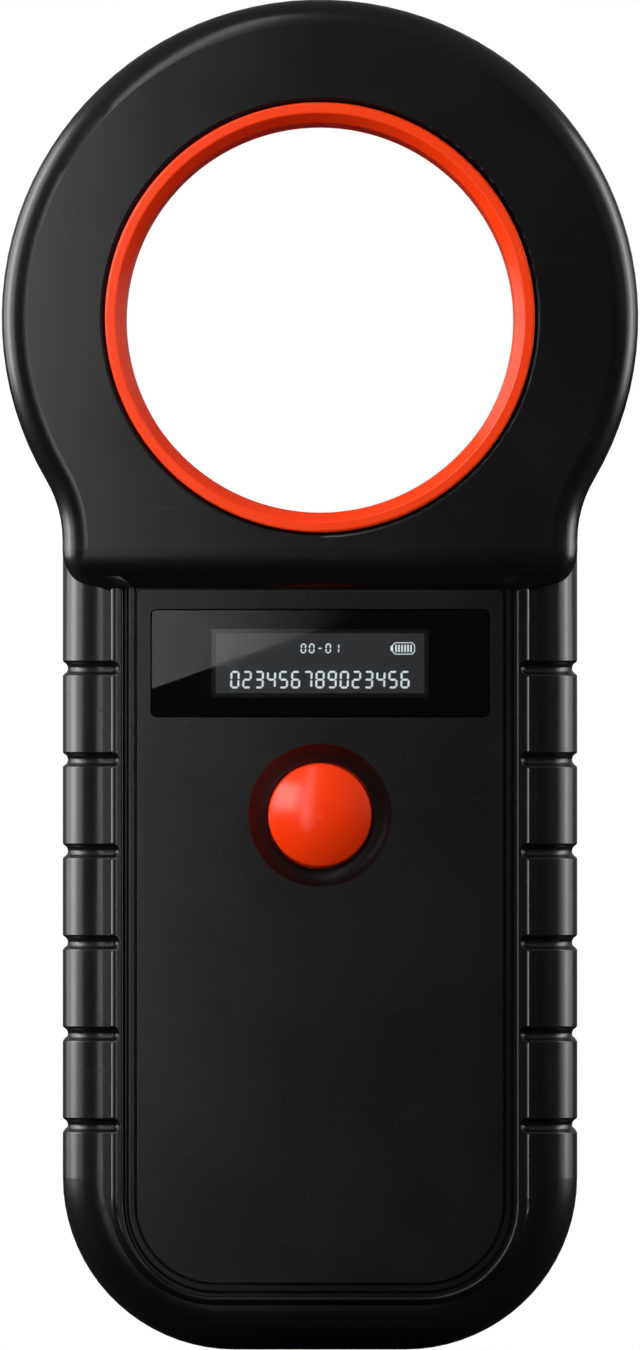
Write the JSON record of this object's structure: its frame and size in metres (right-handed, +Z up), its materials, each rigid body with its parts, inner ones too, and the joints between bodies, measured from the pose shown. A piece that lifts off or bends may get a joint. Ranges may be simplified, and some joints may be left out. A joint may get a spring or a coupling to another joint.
{
  "type": "microchip scanner",
  "caption": "Hand-held ring reader for implanted animal tags, with a grooved handle, a small display and one push button.",
  "frame": {"origin": "middle of the hand grip: centred across the handle, on the parting plane half way through its thickness, 45 mm above the lower end", "axes": "+X to the right as the face is seen, +Y from the face through to the flat back, +Z up the handle to the head"},
  "size_m": [0.0754, 0.0232, 0.16],
  "materials": {
    "housing_black": "satin moulded plastic",
    "panel_black": "fine satin",
    "ring_orange": "semi-gloss",
    "button_orange": "semi-gloss",
    "window_clear": "polished smoked acrylic",
    "mask_black": "printed border",
    "display_glass": "polished",
    "polarizer_film": "film",
    "foam_black": "foam",
    "flex_amber": "polyimide film",
    "board_green": "solder mask",
    "chip_black": "moulded epoxy",
    "ceramic_tan": "ceramic",
    "nylon_white": "nylon",
    "bobbin_black": "glass-filled nylon",
    "copper_winding": "enamelled copper",
    "steel_bright": "plated",
    "screw_black": "black zinc",
    "battery_foil": "laminated foil",
    "lead_red": "silicone insulation",
    "lead_black": "silicone insulation",
    "label_grey": "polyester film"
  },
  "bodies": {
    "reader": {"antenna_coil": "copper_winding", "back_housing": "housing_black", "battery_cell": "battery_foil", "battery_header": "nylon_white", "battery_lead_black": "lead_black", "battery_lead_red": "lead_red", "battery_pad": "foam_black", "battery_plug": "nylon_white", "board_passives": "chip_black", "board_screws": "steel_bright", "buzzer": "chip_black", "case_screws": "screw_black", "charge_chip": "chip_black", "coil_bobbin": "bobbin_black", "coil_header": "nylon_white", "coil_lead_finish": "copper_winding", "coil_lead_start": "copper_winding", "coil_plug": "nylon_white", "controller_chip": "chip_black", "crystal_can": "steel_bright", "display_connector": "nylon_white", "display_flex": "flex_amber", "display_gasket": "foam_black", "display_glass": "display_glass", "display_holder": "bobbin_black", "display_polarizer": "polarizer_film", "display_window": "window_clear", "face_panel": "panel_black", "front_housing": "housing_black", "main_board": "board_green", "port_shell": "steel_bright", "port_tongue": "chip_black", "rating_label": "label_grey", "reader_chip": "chip_black", "ring_liner": "ring_orange", "switch_body": "chip_black", "switch_cover": "steel_bright", "switch_terminals": "steel_bright", "tuning_capacitors": "ceramic_tan", "window_mask": "mask_black"},
    "button": {"button_cap": "button_orange", "switch_plunger": "chip_black"}
  },
  "joints": [
    {"name": "button_press", "type": "slide", "parent": "reader", "child": "button", "axis": [0, 1, 0], "range_m": [0, 0.0004], "stiffness_N_per_m": 2500, "springref_m": -0.0003}
  ]
}
